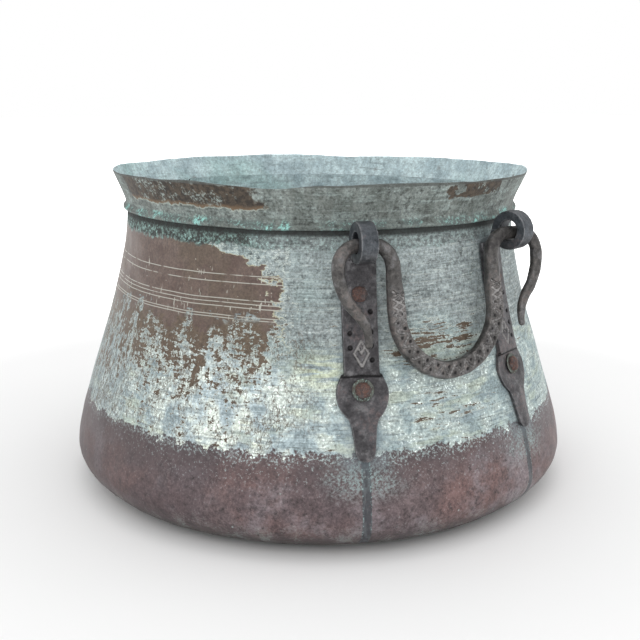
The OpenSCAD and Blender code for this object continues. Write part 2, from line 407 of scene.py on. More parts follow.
def apply(piece, kind, name, **settings):
    """Adds a modifier with its settings and applies it."""
    take(piece)
    modifier = piece.modifiers.new(name, kind)
    for key, value in settings.items():
        setattr(modifier, key, value)
    bpy.ops.object.modifier_apply(modifier=modifier.name)


def hammer(piece, name, size, depth, level=0.5, group="", direction="NORMAL", detail=1):
    """Applies an uneven, hammered surface: bumps of a size, depth high in all."""
    texture = bpy.data.textures.get(name) or bpy.data.textures.new(name, "CLOUDS")
    texture.noise_scale = size
    texture.noise_depth = detail
    apply(
        piece, "DISPLACE", name, texture=texture, texture_coords="LOCAL",
        direction=direction, strength=depth, mid_level=level, vertex_group=group,
    )


def swell(piece, group):
    """The slow swelling and the small planishing marks that wall and pan share."""
    hammer(piece, "wall_swell", 0.16, 0.0042, level=0.55, group=group)
    hammer(piece, "wall_hammering", 0.042, 0.0016, level=0.55, group=group)


def thicken(sheet, thickness):
    """Gives a sheet its thickness inwards, with the second material inside."""
    apply(
        sheet, "SOLIDIFY", "thickness", thickness=thickness, offset=-1,
        use_even_offset=True, material_offset=1, material_offset_rim=0,
    )
    smooth(sheet, 50)


def round_off(piece):
    apply(piece, "SUBSURF", "round", levels=1, render_levels=1)


def smooth(piece, limit=None):
    take(piece)
    if limit is None:
        bpy.ops.object.shade_smooth()
    else:
        bpy.ops.object.shade_smooth_by_angle(angle=math.radians(limit))


def mend(piece, gap=1e-5):
    """Merges doubles and turns all faces outwards."""
    edit(piece, "SELECT")
    bpy.ops.mesh.remove_doubles(threshold=gap)
    bpy.ops.mesh.normals_make_consistent(inside=False)
    done()


def face_out(sheet, outwards):
    """Flips an open sheet if its faces mostly look inwards; outwards(face) is positive if one doesn't."""
    if sum(outwards(face) for face in sheet.data.polygons) < 0:
        edit(sheet, "SELECT")
        bpy.ops.mesh.flip_normals()
        done()


def looks_away(face):
    """Positive for a face that looks away from the upright axis."""
    return face.normal.x * face.center.x + face.normal.y * face.center.y


def copy_of(piece, name):
    """A copy with its own mesh."""
    copy = piece.copy()
    copy.data = piece.data.copy()
    copy.name = copy.data.name = name
    bpy.context.scene.collection.objects.link(copy)
    return copy


def half_round(piece, name):
    """A copy turned half round the pot."""
    copy = copy_of(piece, name)
    copy.rotation_euler.z = math.pi
    settle(copy)
    return copy


def weigh(piece, name, weight):
    """A vertex group that weight(vertex) fills."""
    group = piece.vertex_groups.new(name=name)
    for vertex in piece.data.vertices:
        group.add([vertex.index], min(1.0, max(0.0, weight(vertex))), "REPLACE")
    return group.name


def start_vertex(name, place):
    """A new piece with one selected vertex, in edit mode."""
    deselect()
    bpy.ops.mesh.primitive_plane_add(size=0.01, location=place)
    piece = bpy.context.object
    piece.name = piece.data.name = name
    settle(piece)
    edit(piece, "SELECT")
    bpy.ops.mesh.merge(type="CENTER")
    return piece


def draw(name, points, closed=False):
    """Draws an outline by extruding a vertex from point to point, and leaves it selected."""
    piece = start_vertex(name, points[0])
    for here, there in zip(points, points[1:]):
        bpy.ops.mesh.extrude_vertices_move(TRANSFORM_OT_translate={"value": Vector(there) - Vector(here)})
    bpy.ops.mesh.select_all(action="SELECT")
    if closed:
        bpy.ops.mesh.edge_face_add()
        bpy.ops.mesh.delete(type="ONLY_FACE")
        bpy.ops.mesh.select_all(action="SELECT")
    return piece


def revolve(piece, turn, steps):
    """Spins the selected outline about the upright axis, from where it stands."""
    bpy.ops.mesh.spin(
        steps=steps, angle=-turn, center=(0, 0, 0), axis=(0, 0, 1), use_auto_merge=False
    )
    done()
    mend(piece)


def push(move, reach):
    """Moves what is selected, and what lies within reach of it by less and less."""
    bpy.ops.transform.translate(
        value=move, use_proportional_edit=True, proportional_edit_falloff="SMOOTH",
        proportional_size=reach,
    )


def dent(piece, centres, radius, move):
    """Pushes the surface round each centre by move, easing off to nothing at radius."""
    edit(piece)
    tree = kdtree.KDTree(len(piece.data.vertices))
    for vertex in piece.data.vertices:
        tree.insert(vertex.co, vertex.index)
    tree.balance()
    near = {tree.find(centre)[1] for centre in centres}
    select(piece, lambda v: v.index in near)
    push(move, radius)
    done()


def mark(piece, name, centres, radius):
    """Keeps marks for the piece's finish to read, 1 at each centre and 0 at radius: where a tool struck it,
    and on the straps a painted shadow line.
    """
    tree = kdtree.KDTree(len(centres))
    for index, centre in enumerate(centres):
        tree.insert(centre, index)
    tree.balance()
    struck = piece.data.attributes.get(name) or piece.data.attributes.new(name, "FLOAT", "POINT")
    for vertex in piece.data.vertices:
        near = 1 - tree.find(vertex.co)[2] / radius
        if near > 0:
            struck.data[vertex.index].value = max(struck.data[vertex.index].value, min(1.0, near * 1.6))


def own(piece, body, slot, *nodes):
    """The piece stands for these nodes and moves with the body. The slot is not used."""
    settle(piece)
    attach(piece, body)
    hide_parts(*nodes)


def dress(piece, *materials):
    """Gives the piece its materials in slot order, keeping each face's slot."""
    kept = [f.material_index for f in piece.data.polygons]
    piece.data.materials.clear()
    for material in materials:
        piece.data.materials.append(material)
    for face, index in zip(piece.data.polygons, kept):
        face.material_index = min(index, len(materials) - 1)


# ---------------------------------------------------------------- finishes


class Copper(Finish):
    """A copper finish, with the measures that all the pot's sheets share."""

    def __init__(self, name):
        super().__init__(name)
        self.turn = self.x.math("ARCTAN2", -self.y) * math.degrees(1)
        self.broad = self.noise(7, 3)
        self.middle = self.noise(38, 5, 0.6)
        uneven = (self.middle - 0.5) * 40 + (self.broad - 0.5) * 60
        self.left_side = (self.turn + uneven).rise(-158, -132) * self.turn.rise(-179, -168)
        self.right_side = self.turn.rise(178, 150)
        self.small = self.noise(150, 4, 0.6)
        self.fine = self.noise(520, 3, 0.6)
        self.level = self.grain(26, 210, 3, 0.5)
        self.upright = self.grain(210, 34, 3, 0.5)
        self.hair = self.grain(30, 640, 3, 0.6)
        self.grit = self.noise(340, 4, 0.75)
        self.pillars = self.grain(34, 7, 2, 0.5)

    def specks(self, scale, size, share):
        """Small spots, of a size in cells, in a share of the cells."""
        where = self.node("ShaderNodeTexVoronoi", {}, Vector=self.place, Scale=scale)
        number = self.node("ShaderNodeTexVoronoi", {"out": "Color"}, Vector=self.place, Scale=scale)
        chance = self.split(number)[0]
        uneven = where + (self.fine - 0.5) * 0.25
        return uneven.rise(size, size * 0.45) * chance.rise(share + 0.02, share)

    def shade(self, colour, *parts):
        """A colour made darker and lighter by noises, each given with its strength."""
        amount = 1.0
        for part, strength in parts:
            amount = (part - 0.5) * strength + amount
        return self.multiply(colour, (amount | 0.25) & 2.2)


def fired_copper(f):
    """Colour of the lower copper: reddish purple with grey haze and pale specks."""
    c = colours()
    base = f.mix(f.broad.rise(0.38, 0.60), c.fired, (0.150, 0.092, 0.088))
    base = f.mix(f.noise(17, 5, 0.65).rise(0.46, 0.66) * 0.65, base, (0.215, 0.190, 0.206))
    base = f.mix(f.noise(9, 4, 0.65).rise(0.54, 0.38) * 0.7, base, (0.088, 0.066, 0.072))
    base = f.mix(f.small.rise(0.42, 0.28) * 0.6, base, (0.062, 0.048, 0.050))
    base = f.shade(base, (f.grit, 2.4), (f.small, 1.5), (f.middle, 1.4))
    base = f.mix(f.grit.rise(0.61, 0.68) * f.middle.rise(0.47, 0.60) * 0.7, base, (0.30, 0.34, 0.34))
    return f.mix(f.specks(95, 0.20, 0.03) * 0.8, base, (0.42, 0.49, 0.48))


def scribed(f):
    """1 on the scribed lines round the wall."""
    heights = (0.3212, 0.3125, 0.2932, 0.2888, 0.2842, 0.2742, 0.2712)
    uneven = f.z + (f.broad - 0.5) * 0.004
    lines = functools.reduce(operator.or_, (uneven.near(height, 0.0009) for height in heights))
    return lines * f.grain(60, 60, 2).rise(0.34, 0.46)


def wall_finish():
    """The wall's outside: fired copper below, flaking patina, grey patina, and a bare patch."""
    c = colours()
    s = sizes()
    f = Copper("wall_patina")
    fired_top, patch_low, patch_top, shadow = 0.128, 0.262, 0.358, 0.3655
    jag = (f.middle - 0.5) * 0.030 + (f.small - 0.5) * 0.018 + (f.grit - 0.5) * 0.012

    blocks = f.grain(85, 250, 4, 0.7) * 0.48 + f.grain(130, 38, 4, 0.7) * 0.38 + f.grit * 0.14

    # Where the patina has come off: a patch high on the left, and a smaller one behind.
    high = (f.z - 0.253) / 0.104
    ledge = f.grain(60, 130, 3, 0.6)
    rag = (ledge - 0.5) * 17 + (f.middle - 0.5) * 7
    edge = high * -6 - high.math("POWER", 6.0) * 18.6 - 37.5
    left = (edge + rag - f.turn).rise(-0.25, 0.25) * (f.turn + rag * 2 - high * 14).rise(-150, -149)
    behind = (f.turn + rag * 2.6 + high * 16).between(108, 146, 0.3)
    patch = (left | behind) * (f.z + (f.middle - 0.5) * 0.03).rise(patch_top, patch_top - 0.0015)
    ragged = f.z + (blocks - 0.5) * 0.13 + (f.pillars - 0.5) * 0.06
    patch = patch * ragged.rise(patch_low, patch_low + 0.005)
    rim_of_patch = (edge + rag - f.turn).near(0.15, 0.55) * f.z.rise(0.23, 0.25) * f.z.rise(0.362, 0.352)

    # Flakes: pale crust broken by brown gaps, level on the front and upright on the far left.
    far = (f.turn + f.broad * 20).rise(-62, -80) * f.z.rise(0.10, 0.14) * f.left_side
    streaks = f.grain(190, 26, 4, 0.65) * 0.6 + f.small * 0.4
    right = f.grain(36, 250, 4, 0.65) * 0.78 + f.grit * 0.22
    grain = blocks.towards(right, f.turn.rise(-34, -27)).towards(streaks, far)
    drop = (f.z + jag * 0.4).rise(0.125, patch_low)
    worn_left = (f.turn + (f.broad - 0.5) * 30).rise(-30, -42) * f.left_side
    worn_left = worn_left | (f.turn + (f.broad - 0.5) * 60).between(80, 150, 14) * f.right_side
    lost = (drop * 0.104 + 0.046 + (f.pillars - 0.5) * 0.20) * worn_left
    under_grip = f.turn.between(-14, 12, 6) * f.z.near(0.243, 0.040)
    right_low = f.turn.near(-4.0, 16.0) * f.z.near(0.165, 0.030)
    lost = lost + under_grip * 0.125 + right_low * 0.085 + 0.370
    gap = (lost - grain).rise(-0.006, 0.006) * (f.z + (f.middle - 0.5) * 0.02).rise(0.274, 0.266)
    brink = (lost - grain).near(-0.012, 0.02) * (1 - gap)
    cracks = f.grain(70, 26, 3, 0.6).near(0.5, 0.018) * f.middle.rise(0.43, 0.50)
    small_cracks = f.grain(170, 75, 3, 0.6).near(0.5, 0.038)
    cracks = cracks | small_cracks * f.noise(16, 3, 0.6).rise(0.46, 0.56)
    cracks = cracks * f.z.between(0.124, patch_low, 0.012) * (f.turn + (f.middle - 0.5) * 14).rise(-24, -38)
    cracks = cracks * f.left_side

    # Colours of each layer.
    brown = f.mix(f.middle.rise(0.40, 0.65), c.bare, (0.092, 0.062, 0.052))
    brown = f.mix(f.upright.rise(0.55, 0.75) * 0.35, brown, (0.170, 0.140, 0.125))
    brown = f.mix(f.noise(12, 4, 0.6).rise(0.50, 0.62) * 0.6, brown, (0.098, 0.074, 0.052))
    brown = f.shade(brown, (f.grit, 1.6), (f.small, 0.8))
    brown = f.mix(f.specks(210, 0.22, 0.04) * 0.8, brown, (0.45, 0.42, 0.36))
    grey = f.mix(f.level.rise(0.38, 0.66), c.grey, (0.275, 0.315, 0.315))
    grey = f.mix(f.hair.rise(0.54, 0.70) * 0.45, grey, (0.44, 0.48, 0.47))
    grey = f.mix(f.small.rise(0.50, 0.34) * 0.5, grey, (0.150, 0.172, 0.172))
    grey = f.mix(f.broad.rise(0.50, 0.66) * 0.35, grey, (0.22, 0.31, 0.30))
    grey = f.shade(grey, (f.grit, 3.0), (f.hair, 0.9), (f.small, 1.2), (f.middle, 1.2))
    grey = f.mix(f.specks(120, 0.2, 0.05) * 0.6, grey, (0.55, 0.60, 0.58))
    dull = f.mix(f.middle.rise(0.38, 0.62), (0.285, 0.36, 0.37), (0.41, 0.475, 0.455))
    pale = f.mix(f.middle.rise(0.40, 0.60), c.pale, c.cream)
    # Painted light: the pale patina is drawn at its lightest round azimuth -46, facing the left window, and
    # as dull, an evenly darker copy of it, away from there.
    pale = f.mix((f.turn + (f.broad - 0.5) * 40).near(-46, 34), dull, pale)
    pale = f.mix(f.level.rise(0.50, 0.36) * 0.6, pale, (0.23, 0.29, 0.315))
    pale = f.mix(f.middle.rise(0.47, 0.36) * f.small.rise(0.40, 0.52) * 0.7, pale, (0.17, 0.215, 0.225))
    pale = f.mix(f.grit.rise(0.56, 0.64) * f.middle.rise(0.50, 0.58) * 0.8, pale, (0.84, 0.90, 0.88))
    pale = f.mix(f.hair.rise(0.43, 0.30) * 0.6, pale, (0.17, 0.19, 0.185))
    lichen = f.grain(16, 50, 3, 0.6).rise(0.55, 0.64)
    near_edge = (f.turn - edge).near(6.0, 11.0) * f.z.near(0.225, 0.045)
    yellow = lichen * 0.3 | near_edge * f.level.rise(0.40, 0.54)
    yellow = yellow | under_grip * f.level.rise(0.44, 0.6) * 0.8
    pale = f.mix(yellow * 0.7, pale, c.lichen)
    pale = f.shade(pale, (f.grit, 2.5), (f.hair, 0.9), (f.small, 1.2))
    height = f.z + (f.broad - 0.5) * 0.05
    crust = f.mix(height.rise(patch_low, 0.205), grey, pale)
    crust = f.mix(brink * 0.75, crust, c.cream)
    crust = f.mix(far * 0.6, crust, f.shade((0.29, 0.33, 0.335), (f.upright, 3.4), (f.grit, 1.8)))
    olive = f.mix(0.75, brown, f.shade((0.105, 0.078, 0.052), (f.grit, 1.8), (f.small, 1.0)))
    skin = f.mix(gap | cracks * 0.85, crust, olive)
    skin = f.mix(patch, skin, brown)
    skin = f.mix(rim_of_patch * 0.8, skin, (0.50, 0.50, 0.36))

    # Scribed lines, with short pale ticks across them.
    lines = scribed(f)
    ticks = f.grain(330, 20, 1).rise(0.66, 0.70) * f.z.between(0.268, 0.326, 0.004)
    ticks = ticks * f.noise(30, 2).rise(0.50, 0.58)
    skin = f.mix((lines * (patch * 0.8 + 0.22)) | ticks * patch * 0.8, skin, (0.42, 0.42, 0.37))

    # Verdigris under the collar, with a painted shadow line just below its bead.
    top = (f.z + (f.middle - 0.5) * 0.022 + (f.small - 0.5) * 0.012).rise(0.3525, 0.3565)
    verdigris_and_bead_shadow = f.mix((f.grit + f.small).rise(0.92, 1.16), (0.030, 0.034, 0.032), c.verdigris)
    verdigris_and_bead_shadow = f.mix(f.grit.rise(0.58, 0.66) * f.middle.rise(0.44, 0.58), verdigris_and_bead_shadow, (0.36, 0.58, 0.56))
    verdigris_and_bead_shadow = f.mix((f.turn + f.middle * 30).rise(-38, -18) * f.right_side * 0.6, verdigris_and_bead_shadow, grey)
    # Painted shadow: a near-black line on the wall just under the collar's bead.
    painted_bead_shadow = (f.z + (f.small - 0.5) * 0.004).rise(shadow, shadow + 0.006)
    verdigris_and_bead_shadow = f.mix(painted_bead_shadow * 0.92, verdigris_and_bead_shadow, (0.012, 0.013, 0.012))
    skin = f.mix(top, skin, verdigris_and_bead_shadow)

    # Fired copper below, with a ragged pale fringe.
    foot = f.z + jag
    low = foot.rise(fired_top, fired_top - 0.0025)
    fringe = foot.near(0.1225, 0.008) * f.grit.rise(0.50, 0.60) * low
    fired = fired_copper(f)
    fired = f.mix(foot.rise(0.080, 0.118) * 0.55, fired, (0.072, 0.058, 0.062))
    scatter = foot.rise(0.070, 0.120) * f.grit.rise(0.59, 0.66)
    fired = f.mix(fringe * 0.8 | scatter * 0.75, fired, (0.40, 0.50, 0.50))
    fired = f.mix((f.turn + f.broad * 30).rise(-26, -70) * f.left_side * 0.55, fired, (0.062, 0.048, 0.050))
    fired = f.mix((f.z + (f.middle - 0.5) * 0.05).rise(0.040, 0.008) * 0.80, fired, (0.045, 0.042, 0.040))
    edge_specks = f.z.rise(0.055, 0.006) * (f.grit + f.middle).rise(1.03, 1.16)
    fired = f.mix(edge_specks * 0.8, fired, (0.20, 0.25, 0.23))
    skin = f.mix(low, skin, fired)

    # Soldered seams under the straps, and painted shade along the straps' edges.
    fold = abs(abs(abs(f.turn) - 90) - (90 - math.degrees(s.strap_angle)))
    band = (fold + (f.small - 0.5) * 0.4).rise(1.02, 0.80) * f.z.rise(0.17, 0.15)
    smear = (fold + (f.middle - 0.5) * 12).rise(9.5, 2.5) * (f.z + jag).near(0.100, 0.034)
    skin = f.mix(smear * f.grit.rise(0.42, 0.58) * 0.75, skin, (0.27, 0.36, 0.36))
    slate = f.mix(f.upright.rise(0.45, 0.62), (0.038, 0.044, 0.052), (0.085, 0.098, 0.108))
    slate = f.mix(fold.near(0.80, 0.28) * f.grit.rise(0.52, 0.62), slate, (0.27, 0.38, 0.38))
    skin = f.mix(band * f.small.rise(0.30, 0.40) * 0.85, skin, slate)
    # Painted shade: a darker blue grey band along each strap's edges, where the strap stands proud of the
    # wall.
    strap_edge_shade = (fold + (f.middle - 0.5) * 2).rise(5.6, 3.4) * f.z.between(0.11, 0.36, 0.01)
    skin = f.mix(strap_edge_shade * 0.35, skin, (0.16, 0.20, 0.225))

    bare = (gap * (1 - low)) | patch | low
    rough = 0.86 - bare * 0.36 + (f.small - 0.5) * 0.22
    crust_height = (1 - (gap | patch | low | cracks)) * 0.5 + f.small * 0.35 + f.hair * 0.25
    crust_height = crust_height + top * 0.5 * f.fine - lines * 0.45 + band * 0.5
    planish = f.grain(34, 60, 2)
    normal = f.bump(crust_height, 0.0007, 0.75, below=f.bump(planish, 0.0022, 0.55))
    return f.wear(skin, rough, bare * 0.28 + 0.02, normal)


def inside_finish():
    """The pot's inside: blue grey with green and pale mottling, and painted shade making it darker low
    down.
    """
    f = Copper("inside_patina")
    base = f.mix(f.middle.rise(0.36, 0.64), (0.36, 0.46, 0.49), (0.54, 0.66, 0.68))
    base = f.mix(f.broad.rise(0.48, 0.64) * 0.5, base, (0.33, 0.50, 0.47))
    base = f.mix(f.level.rise(0.54, 0.68) * 0.5, base, (0.22, 0.27, 0.28))
    base = f.shade(base, (f.grit, 1.6), (f.small, 1.2))
    base = f.mix(f.grit.rise(0.60, 0.68) * f.middle.rise(0.5, 0.6), base, (0.68, 0.82, 0.80))
    base = f.mix(f.specks(48, 0.30, 0.06) * 0.5, base, (0.15, 0.12, 0.10))
    # Painted shade: darker deep down in the pot.
    base = f.mix(f.z.rise(0.34, 0.12) * 0.6, base, (0.105, 0.105, 0.095))
    rough = f.middle * 0.3 + 0.62
    normal = f.bump(f.small + f.fine * 0.4, 0.0008, 0.7, below=f.bump(f.noise(30, 2), 0.0025, 0.6))
    return f.wear(base, rough, f.broad.rise(0.2, 0.9) * 0.12, normal)


def pan_finish():
    """The bottom pan: copper, darker towards the bottom."""
    f = Copper("pan_copper")
    base = f.mix(f.z.rise(0.004, 0.018), (0.050, 0.046, 0.042), fired_copper(f))
    base = f.mix(f.middle.rise(0.48, 0.66) * 0.7, base, (0.052, 0.050, 0.045))
    base = f.mix(f.specks(90, 0.3, 0.2) * 0.6, base, (0.24, 0.30, 0.28))
    rough = f.middle * 0.35 + 0.45
    normal = f.bump(f.small, 0.0007, 0.7, below=f.bump(f.noise(34, 2), 0.0022, 0.6))
    return f.wear(base, rough, f.small.rise(0.3, 0.7) * 0.3, normal)


def collar_finish():
    """The collar's outside: dull grey green, with a brown patch and a green bead."""
    c = colours()
    f = Copper("collar_patina")
    patch_foot = 0.3985
    base = f.mix(f.middle.rise(0.40, 0.62), c.collar, (0.185, 0.212, 0.200))
    base = f.mix(f.level.rise(0.50, 0.66) * 0.6, base, (0.235, 0.285, 0.272))
    base = f.mix(f.small.rise(0.48, 0.30) * 0.7, base, (0.062, 0.068, 0.060))
    runs = f.grain(60, 12, 3, 0.5)
    base = f.mix(runs.rise(0.52, 0.64) * 0.5, base, (0.085, 0.092, 0.084))
    base = f.shade(base, (f.grit, 2.8), (f.hair, 0.8), (f.small, 1.3), (runs, 1.2))
    base = f.mix(f.grit.rise(0.60, 0.68) * f.middle.rise(0.48, 0.58) * 0.8, base, (0.38, 0.46, 0.45))
    rag = (f.middle - 0.5) * 22 + (f.small - 0.5) * 8
    drop = (f.middle - 0.5) * 0.016 + (f.small - 0.5) * 0.008
    uneven = f.z + drop
    patch_turn = (f.turn + rag * 0.6).between(-92, -44, 0.8)
    patch = patch_turn * uneven.rise(patch_foot, patch_foot + 0.0015) * uneven.rise(0.4290, 0.4262)
    spots = (f.turn + rag).between(4, 21, 0.8) * uneven.rise(0.409, 0.411)
    spots = spots * f.noise(44, 3).rise(0.45, 0.48)
    elsewhere = f.noise(11, 3, 0.6).rise(0.60, 0.615) * f.turn.rise(40, 60) * f.right_side
    brown = f.mix(f.small.rise(0.38, 0.62), (0.028, 0.022, 0.017), (0.070, 0.053, 0.037))
    brown = f.shade(brown, (f.grit, 2.2), (f.middle, 1.6))
    chalk = f.noise(15, 5, 0.75).rise(0.53, 0.58) * f.grit.rise(0.47, 0.58)
    brown = f.mix(chalk * 0.8, brown, (0.30, 0.36, 0.34))
    low_brown = f.mix(uneven.rise(0.404, 0.3995) * 0.7, brown, (0.175, 0.112, 0.062))
    ring = uneven.near(patch_foot, 0.0013) * patch_turn
    base = f.mix(ring * 0.7, base, (0.34, 0.38, 0.33))
    base = f.mix(patch | spots | elsewhere * 0.8, base, low_brown)
    bead = (f.z + (f.middle - 0.5) * 0.010).rise(0.3905, 0.3845)
    green = f.mix(f.grit.rise(0.50, 0.66), (0.090, 0.110, 0.105), (0.22, 0.42, 0.39))
    green = f.mix(f.noise(20, 4, 0.6).rise(0.56, 0.62) * f.grit.rise(0.44, 0.54), green, (0.28, 0.60, 0.55))
    base = f.mix(bead * f.middle.rise(0.44, 0.56) * 0.85, base, green)
    lip = (f.z + (f.small - 0.5) * 0.002).rise(0.4255, 0.4268)
    base = f.mix(lip * 0.75, base, (0.060, 0.064, 0.060))
    rough = f.middle * 0.3 + 0.62 - patch * 0.12
    relief = f.small * 0.5 + f.fine * 0.3 - (patch | spots) * 0.5
    normal = f.bump(relief, 0.0008, 0.8, below=f.bump(f.noise(36, 2), 0.0024, 0.6))
    return f.wear(base, rough, patch * 0.2, normal)


def rove_finish(name, pale, dark):
    """A corroded copper washer or rove."""
    f = Copper(name)
    base = f.mix(f.small.rise(0.40, 0.60), dark, pale)
    base = f.mix(f.fine.rise(0.55, 0.68) * 0.7, base, (0.34, 0.52, 0.47))
    base = f.mix(f.middle.rise(0.58, 0.44) * 0.4, base, (0.075, 0.058, 0.046))
    normal = f.bump(f.fine + f.small, 0.0006, 0.8)
    return f.wear(base, f.small * 0.4 + 0.55, f.middle * 0.15, normal)


def iron_finish(name, base_colour, worn_colour, rust_share, highlight_from=None):
    """Forged iron: dark scale with rust, rubbed edges, bright chisel cuts and dark punched dots, a painted
    shadow line under each strap's step kept with the dots, and a painted bluish highlight on the straps'
    tops.
    """
    f = Finish(name)
    coarse = f.noise(22, 4, 0.6)
    middle = f.noise(70, 4, 0.6)
    small = f.noise(190, 4, 0.65)
    fine = f.noise(600, 3, 0.6)
    pits = f.node("ShaderNodeAttribute", {"attribute_name": "pits", "out": "Fac"})
    cuts = f.node("ShaderNodeAttribute", {"attribute_name": "cuts", "out": "Fac"})
    edge = f.node("ShaderNodeNewGeometry", {"out": "Pointiness"})
    rub = (edge + (small - 0.5) * 0.05).rise(0.508, 0.575)
    hollow = (edge + (small - 0.5) * 0.03).rise(0.490, 0.445)
    base = f.mix(coarse.rise(0.38, 0.62), base_colour, [v * 1.9 for v in base_colour])
    base = f.mix(middle.rise(0.50, 0.66) * 0.6, base, (0.165, 0.163, 0.168))
    base = f.mix(middle.rise(0.46, 0.32) * 0.6, base, (0.022, 0.020, 0.022))
    # Painted highlight: above the given height, the top of each strap round its eye is drawn lighter and
    # bluer.
    if highlight_from:
        blue = (f.z + (coarse - 0.5) * 0.04).rise(highlight_from, highlight_from + 0.03)
        base = f.mix(blue * 0.65, base, (0.060, 0.072, 0.084))
    base = f.mix((small * coarse).rise(0.27, 0.36) * rust_share, base, colours().rust)
    amount = ((small - 0.5) * 2.2 + (fine - 0.5) * 1.2 + 1.0) | 0.3
    base = f.multiply(base, amount)
    base = f.mix(rub * 0.8, base, worn_colour)
    # The punched dots, and the painted shadow line under the straps' step, blackened.
    base = f.mix(hollow * 0.8 | pits.rise(0.15, 0.8) * 0.92, base, (0.010, 0.009, 0.010))
    cut = cuts.rise(0.25, 0.85) * small.rise(0.30, 0.46)
    base = f.mix(cut * 0.85, base, (0.34, 0.33, 0.325))
    rough = small * 0.30 + 0.30 + hollow * 0.25 - rub * 0.06
    deep = f.bump((pits | cuts) * -1.0, 0.0012, 1.0, below=f.bump(f.noise(70, 3), 0.0020, 0.7))
    return f.wear(base, rough, 0.6 - hollow * 0.3, f.bump(small + fine * 0.3, 0.0007, 0.7, below=deep))


def rivet_finish():
    """Rusted rivet heads."""
    c = colours()
    f = Finish("rivet_rust")
    small = f.noise(240, 4, 0.65)
    fine = f.noise(800, 3, 0.6)
    base = f.mix(small.rise(0.36, 0.62), (0.040, 0.026, 0.025), c.rust)
    base = f.mix(fine.rise(0.54, 0.68) * 0.6, base, (0.20, 0.135, 0.115))
    base = f.mix(f.noise(90, 2).rise(0.56, 0.66) * 0.5, base, (0.085, 0.080, 0.080))
    normal = f.bump(small + fine * 0.5, 0.0009, 0.9)
    return f.wear(base, small * 0.3 + 0.55, small.rise(0.2, 0.9) * 0.2, normal)


def floor_finish():
    """A pale, plain floor."""
    f = Finish("pale_floor")
    base = f.mix(f.noise(3, 2), (0.86, 0.86, 0.86), (0.88, 0.88, 0.88))
    far = (f.x * f.x + f.y * f.y).math("SQRT").rise(0.75, 1.5)
    return f.wear(base, f.noise(8, 2) * 0.1 + 0.75, 0.0, f.bump(f.noise(300, 2), 0.0001, 0.1), glow=far)


# ---------------------------------------------------------------- pieces


class STILL_OT_stage(bpy.types.Operator):
    """Lay the pale floor and set the soft lights, the surroundings and the camera"""

    bl_idname = "still.stage"
    bl_label = "Stage"
    bl_options = {"REGISTER", "UNDO"}

    def execute(self, context):
        deselect()
        bpy.ops.mesh.primitive_plane_add(size=40, location=(0, 0, 0))
        floor = context.object
        floor.name = floor.data.name = "floor"
        dress(floor, floor_finish())

        world = bpy.data.worlds.new("soft_room")
        context.scene.world = world
        world.use_nodes = True
        world.node_tree.nodes["Background"].inputs["Color"].default_value = (1.0, 1.0, 1.0, 1.0)
        world.node_tree.nodes["Background"].inputs["Strength"].default_value = 1.0

        self.lamp("window_left", (-1.9, -1.9, 2.4), 2.2, 19)
        self.lamp("window_right", (2.4, -1.3, 1.9), 2.0, 5)
        self.lamp("skylight", (0.2, 0.3, 3.2), 2.6, 9)

        view, pitch, roll = math.radians(30.35), math.radians(13.65), math.radians(-0.3)
        away, height = 1.32, 0.526
        deselect()
        bpy.ops.object.camera_add(
            location=(-away * math.sin(view), -away * math.cos(view), height),
            rotation=(math.pi / 2 - pitch, roll, -view),
        )
        camera = context.object
        camera.name = "front_camera"
        camera.data.lens = 52.0
        camera.data.sensor_width = 36.0
        context.scene.camera = camera
        context.scene.view_settings.view_transform = "Standard"
        return {"FINISHED"}

    def lamp(self, name, place, size, power):
        """A large soft area light aimed at the pot."""
        aim = (Vector((0, 0, 0.2)) - Vector(place)).to_track_quat("-Z", "Y")
        deselect()
        bpy.ops.object.light_add(type="AREA", location=place, rotation=aim.to_euler())
        lamp = bpy.context.object
        lamp.name = name
        lamp.data.size = size
        lamp.data.energy = power


def wall_outline():
    """Outside of the wall sheets from the pan's seam to the top of the neck."""
    s = sizes()
    corner_steps, wall_steps, neck_steps = 12, 46, 3
    corner = [
        corner_point(blend_between(seam_turn(), math.pi / 2, i / corner_steps)) for i in range(corner_steps)
    ]
    wall = [wall_point(i / wall_steps) for i in range(wall_steps + 1)]
    neck = [
        (s.neck_radius, s.neck_height + s.neck_length * (i + 1) / neck_steps) for i in range(neck_steps)
    ]
    return corner + wall + neck


class STILL_OT_wall_sheets(bpy.types.Operator):
    """Raise the four hammered wall sheets that meet under the straps"""

    bl_idname = "still.wall_sheets"
    bl_label = "Wall Sheets"
    bl_options = {"REGISTER", "UNDO"}

    def execute(self, context):
        s = sizes()
        outside, inside = wall_finish(), inside_finish()
        narrow = 2 * s.strap_angle
        plain_from, fade = 0.372, 0.027
        spans = {
            "wall_sheet_front": (-s.strap_angle, narrow, 28),
            "wall_sheet_right": (s.strap_angle, math.pi - narrow, 92),
            "wall_sheet_back": (math.pi - s.strap_angle, narrow, 28),
            "wall_sheet_left": (math.pi + s.strap_angle, math.pi - narrow, 92),
        }
        for node, (start, turn, steps) in spans.items():
            outline = [at_azimuth(r, z, start) for r, z in wall_outline()]
            sheet = draw(node + "_hammered", outline)
            revolve(sheet, turn, steps)
            face_out(sheet, looks_away)
            dress(sheet, outside, inside)
            round_off(sheet)
            swell(sheet, weigh(sheet, "below_neck", lambda v: (plain_from - v.co.z) / fade))
            thicken(sheet, s.wall)
            own(sheet, "pot", "wall_copper", node)
        return {"FINISHED"}


